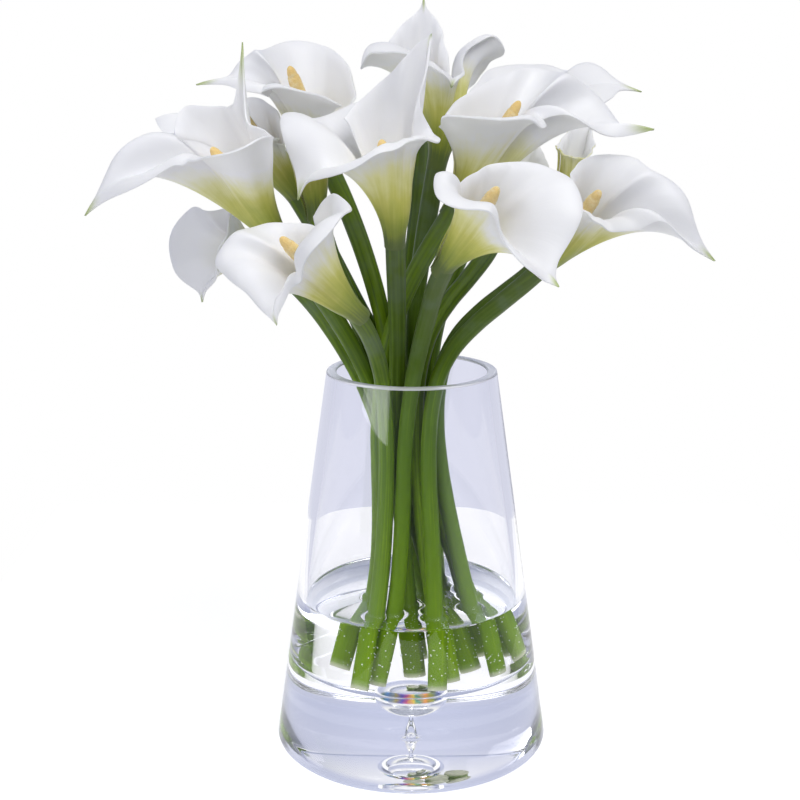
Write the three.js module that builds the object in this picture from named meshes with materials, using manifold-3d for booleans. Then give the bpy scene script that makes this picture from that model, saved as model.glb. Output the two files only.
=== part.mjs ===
// Calla lilies in a tapered, thick-bottomed glass vase, part filled with water.
// Millimetres, +Z up. The origin is on the vase's axis, at the face it stands on.
// -Y is the front. Each lily is a green stem, a white spathe rolled into a funnel
// with its two margins lapped, and a yellow spadix standing on the funnel's foot.

import * as THREE from 'three';
import { mergeVertices } from 'three/addons/utils/BufferGeometryUtils.js';
import Module from 'manifold-3d';

const GAP = 0.3; // clearance between pieces that touch

const VASE = {
  height: 240, rimRadius: 52.2, footRadius: 86.5, wall: 6.2,
  floor: 54.5, floorCorner: 6, footEdge: 4, rimEdge: 1.2, sides: 36,
};
const BUBBLE = {
  radius: 15.3, centre: 32.3, rise: 8.1, depth: 12.1, neck: 0.9, neckHeight: 18.5,
  dropRadius: 2.6, dropCentre: 9.6, dropHalf: 3.2,
};
const VENT_RADIUS = 0.7; // opens the bubble to the inside of the vase
const WATER_LEVEL = 95;

// Radii of a stem at its foot, at the waist of the bunch and at its top, with the heights of the last two.
const STEM = {
  foot: 5.5, waist: 4.7, top: 6.0, waistHeight: 226, topHeight: 330,
  sides: 7, step: 22, neck: 22,
};
const PACKING = { passes: 120, clearance: 0.5, wallClearance: 1.5, smoothing: 0.15, hold: 0.08 };
const SPATHE = {
  foot: 6.5, footHeight: 3, thickness: 1.0, opening: 14,
  footPull: 0.42, rimPull: 0.38, rimLap: 0.6,
};
// The solid foot of each funnel, which the spathe and the spadix grow from.
const PLUG = { outline: [[0, 0], [6.4, 0], [8.4, 3], [9.1, 6], [0, 6]], height: 6, sides: 12 };
// Radius of the spadix at shares of its length.
const SPADIX = {
  sides: 6, outline: [[2.6, 0], [3.8, 0.2], [4.2, 0.5], [3.7, 0.85], [2.4, 0.97], [0.8, 1]],
};
const GRID = { rows: 5, nearest: 4, tailColumns: [-2.6, -0.8, 0, 0.8, 2.6], tailRise: 6 };

// One entry for each lily, in millimetres and degrees.
// foot, waist, via: where the stem stands, where it passes the waist of the bunch, and a point above
// bend: a point between the foot and the waist, for a stem that bends there
// base: where the stem meets the funnel; lean: sideways to the right, and towards the front
// rim: [azimuth round the funnel's axis, distance from it, height along it, turn-out of the edge]
// tails: [azimuth, length, angle from the axis, half width in degrees]
// lap: how far one turn of the spathe steps outwards; spadix: length, sideways lean
const LILIES = [
  { name: 'A', foot: [28, -18.5], waist: [-22, 0.5], via: [-36, -8, 262], base: [-78, -32, 326],
    lean: [-33, 20], lap: -1.8, spadix: [65, 0],
    rim: [
      [-250, 29, 68, 45], [-222, 26, 78, 60], [-200, 37, 86, 85], [-188, 53, 86, 100],
      [-178, 67, 74, 115], [-150, 30, 74, 110], [-118, 22, 72, 80], [-85, 30, 76, 60],
      [-50, 54, 72, 40], [-15, 35, 58, 25], [20, 25, 61, 15], [45, 23, 66, 5], [75, 28, 73, 0],
      [110, 26, 84, 5], [155, 18, 76, 25],
    ],
    tails: [[-178, 20, 106, 3], [45, 41, 44, 5]] },
  { name: 'B', foot: [44.5, 5], waist: [-5, 10.5], via: [-24, 8, 259], base: [-72, 18, 347],
    lean: [-32, 15], lap: 1.8, spadix: [60, 0],
    rim: [
      [-60, 16, 36, 50], [-15, 14, 31, 40], [20, 18, 41, 35], [55, 20, 51, 35], [90, 28, 56, 35],
      [150, 24, 64, 60], [180, 43, 78, 80], [200, 41, 69, 80], [230, 31, 60, 70], [270, 28, 46, 60],
      [320, 17, 36, 50],
    ],
    tails: [[180, 3, 35, 4]] },
  { name: 'C', foot: [52.5, -5], waist: [-11, 0.5], via: [-16, -2, 274], base: [-51, 23, 362],
    lean: [-27, 28], lap: 1.8, spadix: [70, 9],
    rim: [
      [-60, 40, 44, 60], [-20, 35, 38, 50], [10, 34, 36, 40], [40, 41, 46, 40], [65, 49, 51, 50],
      [90, 46, 63, 60], [120, 15, 81, 70], [150, 21, 80, 80], [178, 28, 77, 88], [205, 22, 73, 90],
      [240, 13, 66, 82], [275, 34, 81, 72], [305, 36, 69, 65], [330, 34, 46, 60],
    ],
    tails: [[178, 20, 74, 3]] },
  { name: 'E', foot: [1.5, -25], waist: [-11, -9.5], via: [-8, -19, 270], base: [-10, -41, 329],
    lean: [0, 18], lap: -1.8, spadix: [56, -9],
    rim: [
      [-240, 38, 66, 50], [-215, 55, 57, 70], [-192, 64, 64, 95], [-168, 54, 43, 120],
      [-145, 46, 45, 130], [-125, 40, 52, 125], [-100, 32, 62, 105], [-60, 20, 63, 75],
      [-20, 26, 60, 90], [5, 19, 61, 40], [25, 15, 76, 15], [50, 25, 102, 0], [75, 19, 95, 5],
      [105, 26, 80, 5], [135, 28, 69, 10], [160, 30, 64, 25],
    ],
    tails: [[-166, 16, 171, 3], [50, 7, 41, 3]] },
  { name: 'F', foot: [-29, -53], waist: [-14, -19.5], via: [-17, -30, 256], base: [-34, -60, 288],
    lean: [-42, 32], lap: -1.8, spadix: [68, 3], bend: [-17.5, -33, 105],
    rim: [
      [-300, 20, 50, 42], [-262, 23, 57, 50], [-240, 26, 64, 55], [-210, 25, 76, 70],
      [-180, 36, 76, 90], [-160, 34, 74, 105], [-135, 32, 66, 115], [-110, 37, 54, 120],
      [-92, 25, 56, 115], [-72, 24, 56, 105], [-50, 40, 74, 95], [-22, 51, 79, 95], [5, 45, 64, 80],
      [30, 39, 64, 45], [70, 27, 51, 30],
    ],
    tails: [[-110, 7, 148, 3]] },
  { name: 'G', foot: [19.5, -7], waist: [-26, 10.5], via: [-43, 5, 259], base: [-89, 25, 302],
    lean: [-60, 25], lap: 1.8, spadix: [28, 0],
    rim: [
      [-60, 28, 44, 50], [0, 28, 46, 50], [60, 22, 36, 50], [100, 20, 47, 60], [140, 58, 44, 80],
      [170, 51, 39, 88], [200, 37, 27, 90], [235, 21, 29, 90], [300, 28, 44, 60],
    ],
    tails: [[200, 9, 122, 3]] },
  { name: 'H', foot: [12, 17], waist: [-0.5, 20.5], via: [-1, 16, 264], base: [16, 28, 367],
    lean: [10, -6], lap: 1.8, spadix: [33, 4],
    rim: [
      [-280, 20, 44, 40], [-240, 38, 60, 65], [-215, 62, 65, 90], [-185, 56, 44, 112],
      [-150, 57, 52, 100], [-120, 61, 52, 85], [-90, 44, 45, 100], [-60, 9, 59, 90], [-25, 21, 75, 80],
      [-5, 28, 70, 80], [20, 21, 62, 65], [60, 24, 48, 45], [100, 20, 42, 40],
    ],
    tails: [[-90, 8, -144, 4]] },
  { name: 'I', foot: [1.5, 8], waist: [-11, 20.5], via: [-4, 27, 268], base: [8, 84, 377],
    lean: [0, 4], lap: 1.8, spadix: [45, 0],
    rim: [
      [-200, 20, 44, 30], [-150, 18, 40, 50], [-90, 18, 36, 50], [-30, 16, 40, 45], [20, 13, 58, 20],
      [60, 14, 71, 0], [90, 16, 77, 0], [120, 15, 72, 0], [160, 21, 60, 15], [210, 20, 46, 40],
    ],
    tails: [[90, 8, 5, 4]] },
  { name: 'K', foot: [20, 26], waist: [9, 19], via: [12, 20, 269], base: [61, 78, 361],
    lean: [22, 5], lap: 1.8, spadix: [50, 0],
    rim: [
      [-190, 28, 34, 40], [-120, 26, 36, 60], [-60, 34, 44, 70], [-20, 46, 63, 82], [0, 45, 71, 80],
      [30, 31, 77, 60], [60, 34, 66, 50], [90, 40, 61, 45], [120, 47, 50, 45], [150, 39, 36, 45],
      [180, 37, 28, 40],
    ],
    tails: [[0, 18, 83, 3]] },
  { name: 'L', foot: [-34, -16], waist: [-21, -10], via: [-10, -6, 285], base: [26, -8, 341],
    lean: [33, 20], lap: 1.8, spadix: [74, -4], bend: [-19, 0, 105],
    rim: [
      [-192, 31, 39, 45], [-165, 39, 44, 60], [-140, 55, 62, 75], [-105, 38, 81, 80], [-75, 28, 78, 82],
      [-48, 14, 77, 85], [-30, 24, 87, 85], [-6, 54, 86, 92], [8, 53, 90, 85], [25, 44, 94, 72],
      [50, 22, 97, 60], [75, 46, 83, 50], [105, 34, 74, 42], [140, 34, 53, 35], [190, 32, 43, 40],
    ],
    tails: [[-4, 20, 44, 3]] },
  { name: 'M', foot: [-18.5, -42], waist: [-3.5, -19.5], via: [8, -36, 279], base: [19, -60, 314],
    lean: [31, 36], lap: 1.8, spadix: [64, -2], bend: [-8, -34, 105],
    rim: [
      [-205, 26, 49, 90], [-186, 35, 58, 125], [-168, 37, 57, 130], [-146, 41, 64, 108],
      [-115, 36, 77, 75], [-85, 33, 60, 78], [-64, 48, 58, 85], [-50, 52, 52, 88], [-36, 47, 58, 85],
      [-8, 44, 74, 75], [15, 39, 77, 68], [45, 34, 68, 52], [80, 24, 61, 45], [120, 18, 56, 38],
      [168, 18, 46, 40],
    ],
    tails: [[-50, 8, 73, 3]] },
  { name: 'N', foot: [13.5, -52], waist: [7, -19.5], via: [13, -21, 257], base: [80, -15, 308],
    lean: [34, 34], lap: 1.8, spadix: [62, -6], bend: [14, -37, 105],
    rim: [
      [-200, 15, 52, 40], [-150, 18, 57, 50], [-110, 18, 56, 68], [-75, 22, 59, 88], [-50, 27, 65, 90],
      [-34, 33, 74, 90], [-16, 59, 66, 95], [-4, 49, 76, 88], [14, 39, 80, 80], [35, 26, 78, 68],
      [60, 30, 74, 58], [95, 30, 63, 48], [150, 21, 59, 40], [205, 24, 61, 40],
    ],
    tails: [[-15, 16, 98, 3]] },
  { name: 'O', foot: [45, -29], waist: [9.5, -8.5], via: [18, -8, 266], base: [95, 30, 325],
    lean: [6, 0], lap: 1.8, spadix: [34, 0],
    rim: [
      [-170, 10, 46, 12], [-90, 10, 42, 20], [-30, 10, 46, 20], [30, 10, 56, 20], [60, 15, 62, 5],
      [90, 13, 60, 0], [150, 9, 49, 8], [190, 11, 46, 15],
    ],
    tails: [[60, 16, 60, 5]] },
  { name: 'P', foot: [19.5, -37], waist: [-1, -9], via: [7, -1, 273], base: [55, 32, 324],
    lean: [10, 0], lap: 1.8, spadix: [34, 0],
    rim: [
      [-170, 14, 44, 20], [-90, 18, 40, 35], [-30, 22, 41, 40], [20, 17, 49, 20], [60, 18, 56, 6],
      [90, 16, 54, 5], [150, 12, 44, 12], [190, 15, 44, 20],
    ],
    tails: [[60, 8, 10, 5]] },
  { name: 'Q', foot: [29, 11], waist: [-15.5, 10.5], via: [-31, 6, 270], base: [-56, -26, 343],
    lean: [-6, 0], lap: 1.8, spadix: [24, 0],
    rim: [
      [-170, 9, 32, 10], [-90, 9, 30, 10], [0, 10, 34, 5], [60, 9, 40, 0], [120, 9, 38, 0],
      [190, 10, 33, 6],
    ],
    tails: [[60, 6, 0, 5]] },
];

const radians = THREE.MathUtils.degToRad;
const { lerp } = THREE.MathUtils;

const COLOURS = {
  glass: { color: 0xdfe3ee, roughness: 0.03, transparent: true, opacity: 0.35 },
  water: { color: 0xeaf2f4, roughness: 0.02, transparent: true, opacity: 0.3 },
  stem: { color: 0x4c7a2c, roughness: 0.5 },
  spathe: { color: 0xf7f7f2, roughness: 0.55, side: THREE.DoubleSide },
  spadix: { color: 0xe9b95a, roughness: 0.85 },
};

const lilies = new THREE.Group();
const wasm = await Module();
wasm.setup();

function addMesh(name, geometry, look) {
  geometry.computeVertexNormals();
  const mesh = new THREE.Mesh(geometry, new THREE.MeshStandardMaterial(COLOURS[look]));
  mesh.name = name;
  lilies.add(mesh);
  return mesh;
}

// ---- solids ----

function toSolid(geometry) {
  const bare = geometry.clone();
  bare.deleteAttribute('normal');
  bare.deleteAttribute('uv');
  const merged = mergeVertices(bare, 1e-4);
  return new wasm.Manifold(new wasm.Mesh({
    numProp: 3,
    vertProperties: merged.attributes.position.array,
    triVerts: new Uint32Array(merged.index.array),
  }));
}

function toGeometry(solid) {
  const { vertProperties, triVerts } = solid.getMesh();
  const geometry = new THREE.BufferGeometry();
  geometry.setAttribute('position', new THREE.BufferAttribute(vertProperties, 3));
  geometry.setIndex(new THREE.BufferAttribute(triVerts, 1));
  return geometry.toNonIndexed();
}

function fromTriangles(points, triangles) {
  const geometry = new THREE.BufferGeometry().setFromPoints(points);
  geometry.setIndex(triangles.flat());
  return geometry;
}

// A round body turned about Z from a profile of [radius, height] pairs.
function turned(profile, sides) {
  const outline = profile.map(([r, z]) => new THREE.Vector2(r, z));
  return new THREE.LatheGeometry(outline, sides).rotateX(Math.PI / 2);
}

// Points on a rounded corner between two straight stretches of a profile.
function arc(centreR, centreZ, radius, from, to, steps) {
  return Array.from({ length: steps + 1 }, (_, i) => {
    const angle = radians(from + ((to - from) * i) / steps);
    return [centreR + radius * Math.cos(angle), centreZ + radius * Math.sin(angle)];
  });
}

// A skin over rings of points of equal count, with both ends closed by a fan.
function loft(rings) {
  const count = rings[0].length;
  const points = rings.flat();
  const triangles = [];
  for (let i = 0; i + 1 < rings.length; i++) {
    for (let j = 0; j < count; j++) {
      const a = i * count + j;
      const b = i * count + ((j + 1) % count);
      triangles.push([a, b, b + count], [a, b + count, a + count]);
    }
  }
  const last = (rings.length - 1) * count;
  for (let j = 1; j + 1 < count; j++) {
    triangles.push([0, j + 1, j], [last, last + j, last + j + 1]);
  }
  return fromTriangles(points, triangles);
}

// A sheet of even thickness over a grid of points, with its four edges closed.
function sheet(grid, thickness) {
  const columns = grid.length;
  const rows = grid[0].length;
  const face = (side) => grid.flatMap((column, i) => column.map((point, j) => {
    const across = new THREE.Vector3().subVectors(
      grid[Math.min(i + 1, columns - 1)][j], grid[Math.max(i - 1, 0)][j]);
    const along = new THREE.Vector3().subVectors(
      column[Math.min(j + 1, rows - 1)], column[Math.max(j - 1, 0)]);
    return across.cross(along).normalize().multiplyScalar(side * thickness / 2).add(point);
  }));
  const half = columns * rows;
  const triangles = [];
  const quad = (a, b, c, d) => triangles.push([a, b, c], [a, c, d]);
  for (let i = 0; i + 1 < columns; i++) {
    for (let j = 0; j + 1 < rows; j++) {
      const [a, b] = [i * rows + j, (i + 1) * rows + j];
      quad(a, b, b + 1, a + 1);
      triangles.push([half + a, half + b + 1, half + b], [half + a, half + a + 1, half + b + 1]);
    }
    const [foot, footNext] = [i * rows, (i + 1) * rows];
    quad(footNext, foot, half + foot, half + footNext);
    quad(foot + rows - 1, footNext + rows - 1, half + footNext + rows - 1, half + foot + rows - 1);
  }
  for (let j = 0; j + 1 < rows; j++) {
    const end = (columns - 1) * rows + j;
    quad(j, j + 1, half + j + 1, half + j);
    quad(end + 1, end, half + end, half + end + 1);
  }
  return fromTriangles([...face(1), ...face(-1)], triangles);
}

// ---- vase and water ----

const outerRadius = (z) => VASE.footRadius - (VASE.footRadius - VASE.rimRadius) * (z / VASE.height);
const innerRadius = (z) => outerRadius(z) - VASE.wall;

// The bubble lies in the solid foot: a flattened round, a thin neck and a drop below it.
function bubbleOutline() {
  const { radius, centre, rise, depth, neck, neckHeight, dropRadius, dropCentre, dropHalf } = BUBBLE;
  const drop = arc(0, 0, 1, -90, 60, 3).map(([x, y]) => [dropRadius * x, dropCentre + dropHalf * y]);
  const bowl = arc(0, 0, 1, -82, 0, 3).map(([x, y]) => [radius * x, centre + depth * y]);
  const dome = arc(0, 0, 1, 30, 86, 2).map(([x, y]) => [radius * x, centre + rise * y]);
  drop[0][0] = 0;
  return [...drop, [neck, neckHeight], ...bowl, ...dome, [VENT_RADIUS, centre + rise]];
}

function vaseProfile() {
  const { height, floor, floorCorner, footEdge, rimEdge } = VASE;
  const floorArcCentre = innerRadius(floor + floorCorner) - floorCorner;
  return [
    ...bubbleOutline(),
    [VENT_RADIUS, floor],
    ...arc(floorArcCentre, floor + floorCorner, floorCorner, -90, 0, 3),
    [innerRadius(height), height - rimEdge],
    [innerRadius(height) + rimEdge, height],
    [outerRadius(height) - rimEdge, height],
    [outerRadius(height), height - rimEdge],
    ...arc(outerRadius(footEdge) - footEdge, footEdge, footEdge, 0, -90, 3),
    [0, 0],
  ].reverse();
}

function waterProfile() {
  const { floor, floorCorner } = VASE;
  const floorArcCentre = innerRadius(floor + floorCorner) - floorCorner;
  return [
    [0, floor + 2 * GAP],
    ...arc(floorArcCentre, floor + floorCorner, floorCorner - 2 * GAP, -90, 0, 4),
    [innerRadius(WATER_LEVEL) - GAP, WATER_LEVEL],
    [0, WATER_LEVEL],
  ];
}

// ---- stems ----

const footHeight = VASE.floor + GAP;

function lilyAxis({ lean: [side, front] }) {
  const [a, b] = [radians(side), radians(front)];
  return new THREE.Vector3(Math.sin(a) * Math.cos(b), -Math.sin(b), Math.cos(a) * Math.cos(b));
}

function stemRadius(z) {
  const { foot, waist, top, waistHeight, topHeight } = STEM;
  if (z < waistHeight) return lerp(foot, waist, z / waistHeight);
  return lerp(waist, top, Math.min(1, (z - waistHeight) / (topHeight - waistHeight)));
}

// A stem as the points of its centre line, from its foot to its top.
function stemCourse(lily) {
  const axis = lilyAxis(lily);
  const top = new THREE.Vector3(...lily.base).addScaledVector(axis, -GAP);
  const curve = new THREE.CatmullRomCurve3([
    new THREE.Vector3(...lily.foot, footHeight),
    ...(lily.bend ? [new THREE.Vector3(...lily.bend)] : []),
    new THREE.Vector3(...lily.waist, STEM.waistHeight),
    new THREE.Vector3(...lily.via),
    top.clone().addScaledVector(axis, -STEM.neck), top,
  ], false, 'centripetal');
  return { axis, points: curve.getSpacedPoints(Math.round(curve.getLength() / STEM.step)) };
}

// Two stretches of stem that come too near each other are moved apart where they are nearest.
function pushApart(a, b, i, j) {
  const lines = [new THREE.Line3(a[i], a[i + 1]), new THREE.Line3(b[j], b[j + 1])];
  const near = [new THREE.Vector3(), new THREE.Vector3()];
  const distance = Math.sqrt(lines[0].distanceSqToLine3(lines[1], ...near));
  const needed = stemRadius(near[0].z) + stemRadius(near[1].z) + PACKING.clearance;
  if (distance >= needed) return;
  const push = near[0].clone().sub(near[1]).setLength((needed - distance) / 2);
  lines.forEach((line, side) => {
    const share = line.closestPointToPointParameter(near[side], true);
    line.start.addScaledVector(push, (side ? -1 : 1) * (1 - share));
    line.end.addScaledVector(push, (side ? -1 : 1) * share);
    if (side ? j === 0 : i === 0) line.start.setZ(footHeight);
  });
}

// A stem stays clear of the vase's wall.
function keepInside(points) {
  for (const point of points) {
    const limit = innerRadius(point.z) - stemRadius(point.z) - PACKING.wallClearance;
    const out = Math.hypot(point.x, point.y) / limit;
    if (point.z < VASE.height && out > 1) point.set(point.x / out, point.y / out, point.z);
  }
}

function smoothCourse(points, meant) {
  for (let k = 1; k + 1 < points.length; k++) {
    const bend = points[k - 1].clone().add(points[k + 1]).addScaledVector(points[k], -2);
    points[k].addScaledVector(bend, PACKING.smoothing).lerp(meant[k], PACKING.hold);
  }
}

// Stems are eased apart, and are drawn back to their meant courses in most of the passes.
function packStems(courses) {
  const meant = courses.map(({ points }) => points.map((point) => point.clone()));
  for (let pass = 0; pass < PACKING.passes; pass++) {
    if (pass < PACKING.passes * 0.75) courses.forEach(({ points }, i) => smoothCourse(points, meant[i]));
    courses.forEach(({ points: a }, first) => courses.slice(first + 1).forEach(({ points: b }) => {
      for (let i = 0; i + 1 < a.length; i++) {
        for (let j = Math.max(0, i - 2); j < Math.min(i + 3, b.length - 1); j++) pushApart(a, b, i, j);
      }
    }));
    courses.forEach(({ points }) => keepInside(points));
  }
}

function ring(centre, along, radius, sides) {
  const across = new THREE.Vector3(1, 0, 0).addScaledVector(along, -along.x).normalize();
  const behind = new THREE.Vector3().crossVectors(along, across);
  return Array.from({ length: sides }, (_, i) => {
    const angle = (2 * Math.PI * i) / sides;
    return centre.clone()
      .addScaledVector(across, radius * Math.cos(angle))
      .addScaledVector(behind, radius * Math.sin(angle));
  });
}

function stemRings({ axis, points }, extra) {
  return points.map((point, i) => {
    const along = new THREE.Vector3().subVectors(
      points[Math.min(i + 1, points.length - 1)], points[Math.max(i - 1, 0)]).normalize();
    if (i === 0) along.set(0, 0, 1);
    if (i === points.length - 1) along.copy(axis);
    return ring(point, along, stemRadius(point.z) + extra, STEM.sides);
  });
}

// The plain hole that a stem stands in, from below the water to above it.
function stemHole(course) {
  const rings = stemRings(course, GAP);
  const wet = rings.slice(0, rings.findIndex((points) => points.every(({ z }) => z > WATER_LEVEL)) + 1);
  return loft([wet[0].map((point) => point.clone().setZ(VASE.floor - 1)), ...wet]);
}

// ---- blooms ----

// Distance, height and turn-out of the rim at an azimuth, smooth through its stations.
function rimAt(rim, azimuth) {
  const last = rim.length - 1;
  const found = rim.findIndex(([angle]) => angle > azimuth);
  const k = found < 0 ? last - 1 : Math.max(found - 1, 0);
  const slope = (i, item) => {
    const [before, after] = [rim[Math.max(i - 1, 0)], rim[Math.min(i + 1, last)]];
    return (after[item] - before[item]) / (after[0] - before[0]);
  };
  const span = rim[k + 1][0] - rim[k][0];
  const u = (azimuth - rim[k][0]) / span;
  return [1, 2, 3].map((item) => (2 * u ** 3 - 3 * u ** 2 + 1) * rim[k][item]
    + (u ** 3 - 2 * u ** 2 + u) * span * slope(k, item)
    + (3 * u ** 2 - 2 * u ** 3) * rim[k + 1][item]
    + (u ** 3 - u ** 2) * span * slope(k + 1, item));
}

// A point of the spathe: its foot is a ring, its rim comes from the stations.
function spathePoint(lily, azimuth, share) {
  const { rim, tails, lap, base } = lily;
  const [distance, height, turnOut] = rimAt(rim, azimuth);
  const lapped = (lap * (azimuth - (rim[0][0] + rim.at(-1)[0]) / 2)) / 360;
  const foot = new THREE.Vector2(SPATHE.foot + lapped, SPATHE.footHeight);
  const edge = new THREE.Vector2(distance + SPATHE.rimLap * lapped, height);
  const chord = foot.distanceTo(edge);
  const towards = (angle, length) => new THREE.Vector2(Math.sin(radians(angle)), Math.cos(radians(angle)))
    .multiplyScalar(length);
  const low = foot.clone().add(towards(SPATHE.opening, SPATHE.footPull * chord));
  const high = edge.clone().sub(towards(turnOut, SPATHE.rimPull * chord));
  const point = new THREE.CubicBezierCurve(foot, low, high, edge).getPoint(share);
  for (const [middle, length, angle, width] of tails) {
    const drawn = length * Math.exp(-Math.abs(azimuth - middle) / width) * share ** GRID.tailRise;
    point.add(towards(angle, drawn));
  }
  const axis = lilyAxis(lily);
  const across = new THREE.Vector3(1, 0, 0).addScaledVector(axis, -axis.x).normalize();
  const behind = new THREE.Vector3().crossVectors(axis, across);
  return new THREE.Vector3(...base)
    .addScaledVector(across, point.x * Math.cos(radians(azimuth)))
    .addScaledVector(behind, point.x * Math.sin(radians(azimuth)))
    .addScaledVector(axis, point.y);
}

// The azimuths of the mesh's columns: one for each station, and more where a tail is drawn out.
function spatheColumns({ rim, tails }) {
  const drawn = tails.flatMap(([middle, , , width]) => (
    GRID.tailColumns.map((step) => middle + step * width)));
  const clear = (angle) => drawn.every((other) => Math.abs(other - angle) > GRID.nearest);
  return [...rim.map(([angle]) => angle).filter(clear), ...drawn].sort((a, b) => a - b);
}

function onLily(lily, geometry) {
  const turn = new THREE.Quaternion().setFromUnitVectors(new THREE.Vector3(0, 0, 1), lilyAxis(lily));
  return geometry.applyQuaternion(turn).translate(...lily.base);
}

function spathe(lily) {
  const grid = spatheColumns(lily).map((azimuth) => Array.from({ length: GRID.rows + 1 },
    (_, row) => spathePoint(lily, azimuth, row / GRID.rows)));
  const plug = turned(PLUG.outline, PLUG.sides);
  return toGeometry(toSolid(sheet(grid, SPATHE.thickness)).add(toSolid(onLily(lily, plug))));
}

function spadix(lily) {
  const [length, side] = lily.spadix;
  const root = new THREE.Vector3(...lily.base).addScaledVector(lilyAxis(lily), PLUG.height + 2 * GAP);
  const along = lilyAxis({ lean: [lily.lean[0] + side, lily.lean[1]] });
  const rings = SPADIX.outline.map(([radius, share]) => ring(
    root.clone().addScaledVector(along, share * (length - PLUG.height)), along, radius, SPADIX.sides));
  return loft(rings);
}

// ---- the whole ----

const courses = LILIES.map(stemCourse);
packStems(courses);

let water = toSolid(turned(waterProfile(), VASE.sides));
for (const course of courses) water = water.subtract(toSolid(stemHole(course)));

addMesh('vase', turned(vaseProfile(), VASE.sides), 'glass');
addMesh('water', toGeometry(water), 'water');
LILIES.forEach((lily, i) => {
  addMesh(`stem_${lily.name}`, loft(stemRings(courses[i], 0)), 'stem');
  addMesh(`spathe_${lily.name}`, spathe(lily), 'spathe');
  addMesh(`spadix_${lily.name}`, spadix(lily), 'spadix');
});

export default lilies;
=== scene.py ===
# Calla lilies in a tapered, thick-bottomed glass vase that is part filled with a clear fill.
# The frame gives every stem's course. Lengths are in millimetres until a vertex is placed, and
# MM turns them into metres. The floor, the lamps and the camera are in metres. -Y is the front.
import math
import random

import bmesh
import bpy
import numpy as np
from mathutils import Matrix, Vector


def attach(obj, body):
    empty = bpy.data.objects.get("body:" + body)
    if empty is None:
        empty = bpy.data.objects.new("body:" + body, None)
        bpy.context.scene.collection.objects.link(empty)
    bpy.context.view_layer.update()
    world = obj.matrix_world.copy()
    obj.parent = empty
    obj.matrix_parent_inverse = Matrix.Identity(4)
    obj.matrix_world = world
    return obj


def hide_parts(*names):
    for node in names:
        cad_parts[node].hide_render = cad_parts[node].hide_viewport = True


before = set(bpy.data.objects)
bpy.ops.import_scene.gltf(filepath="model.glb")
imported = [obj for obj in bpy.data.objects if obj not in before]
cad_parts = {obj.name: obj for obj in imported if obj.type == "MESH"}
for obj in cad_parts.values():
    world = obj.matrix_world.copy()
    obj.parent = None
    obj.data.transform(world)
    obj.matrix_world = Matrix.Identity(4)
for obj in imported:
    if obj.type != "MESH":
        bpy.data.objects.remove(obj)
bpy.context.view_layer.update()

MM = 0.001
SEED = 11

# ---- driving dimensions ----

# dark_corner: the share of the floor corner's height, from the floor up, that takes the painted shade
VASE = dict(height=240, rim_radius=52.2, foot_radius=86.5, wall=6.2, floor=54.5, floor_corner=6,
            foot_edge=4, rim_edge=1.2, recess=5, recess_radius=70, dark_corner=0.7, sides=160)
STRAIGHT = dict(shortest=8, shares=(0.004, 0.02, 0.5, 0.98, 0.996))  # where a long stretch has points
BUBBLE = dict(radius=15.3, centre=32.3, rise=8.1, depth=12.1, sides=96,
              drop=[(0, 5.6), (4.4, 5.7), (4.5, 6.0), (3.1, 6.6), (2.7, 7.6), (2.6, 9.0), (2.3, 11.0),
                    (1.7, 13.5), (1.1, 16.0), (0.9, 18.0), (1.1, 19.8)])
RAINBOW = dict(bottom=(32.6, 33.6), top=(35.8, 37.0), front=(6, 10), reach=15, patches=350,
               waver=0.14, glow=0.05)  # a painted glint that glows, where light splits into colours on the bubble's dome
GLASS_IOR = 1.5
FILL_IOR = 1.48  # the fill bends light nearly as the glass does
SKIN_IOR = 1.5  # of a stem in air
NO_BEND_IOR = 1.0  # where light isn't bent: the fill bends it as a stem's skin and the glass do
WATER = dict(level=95, into_glass=0.25, sides=288, rings=110,
             wall_rise=2.4, wall_reach=2.2, stem_rise=2.8, stem_reach=2.3)
STEM = dict(sides=28, steps=7, ridges=9, ridge_depth=0.012, turn_by_tone=4, cut=(1.2, 3.4))
SPATHE = dict(foot=6.5, foot_height=3, opening=14, foot_pull=0.42, rim_pull=0.38, rim_lap=0.6,
              tail_rise=6, thickness=1.0, columns=170, rows=44)
TAIL_COLUMNS = dict(samples=3000, crowding=5, spread=2)  # columns stand closer where a tail is
SLEEVE = dict(depth=9, radius=5.5, lap=0.25, share=0.1)  # the spathe's foot, round the stem's top
ROLL = dict(start=0.9, depth=1.5)  # the rim rolls outwards
WAVE = dict(height=0.8, start=0.5, swells=5, ripples=11, ripple_share=0.6, ripple_shift=2.3,
            turn_by_tone=6)
BLUSH = dict(by_height=0.3, full_height=70, by_share=0.7,
             tip=0.86, tip_length=8)  # where a bloom's foot and tip are green
SPADIX = dict(root=3.5, tip=6, sides=40, rows=130, crowding=1.3, round_from=0.9, smallest=0.25,
              grain_share=0.05, grains_round=13, grain_length=1.7,
              outline=[(0.0, 2.6), (0.2, 3.8), (0.5, 4.2), (0.85, 3.7), (0.95, 2.9)])
AIR = dict(count=70, smallest=0.16, largest=0.42, above_floor=2, under_surface=3, stand_off=0.6,
           glints=900)  # bubbles on the wet part of each stem
EDGE = dict(segments=2, glass_width=0.3, glass_angle=50, petal_width=0.32, petal_angle=60)
ARC_STEPS = dict(corner=10, foot=10, rim=4, recess=12, bowl=20, dome=16)
WELD = 0.001  # new vertices closer than this are one
CAD_WELD = 0.01  # the same for the frame's vertices
FOOT_RING = 0.2  # vertices this close to a stem's lowest point are its first ring
MARGIN = 1  # how far past an edge the middle of a face has to lie to count as beyond it

WATER_LINE = WATER["level"] + WATER["wall_rise"]  # where the water's edge meets the glass

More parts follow.
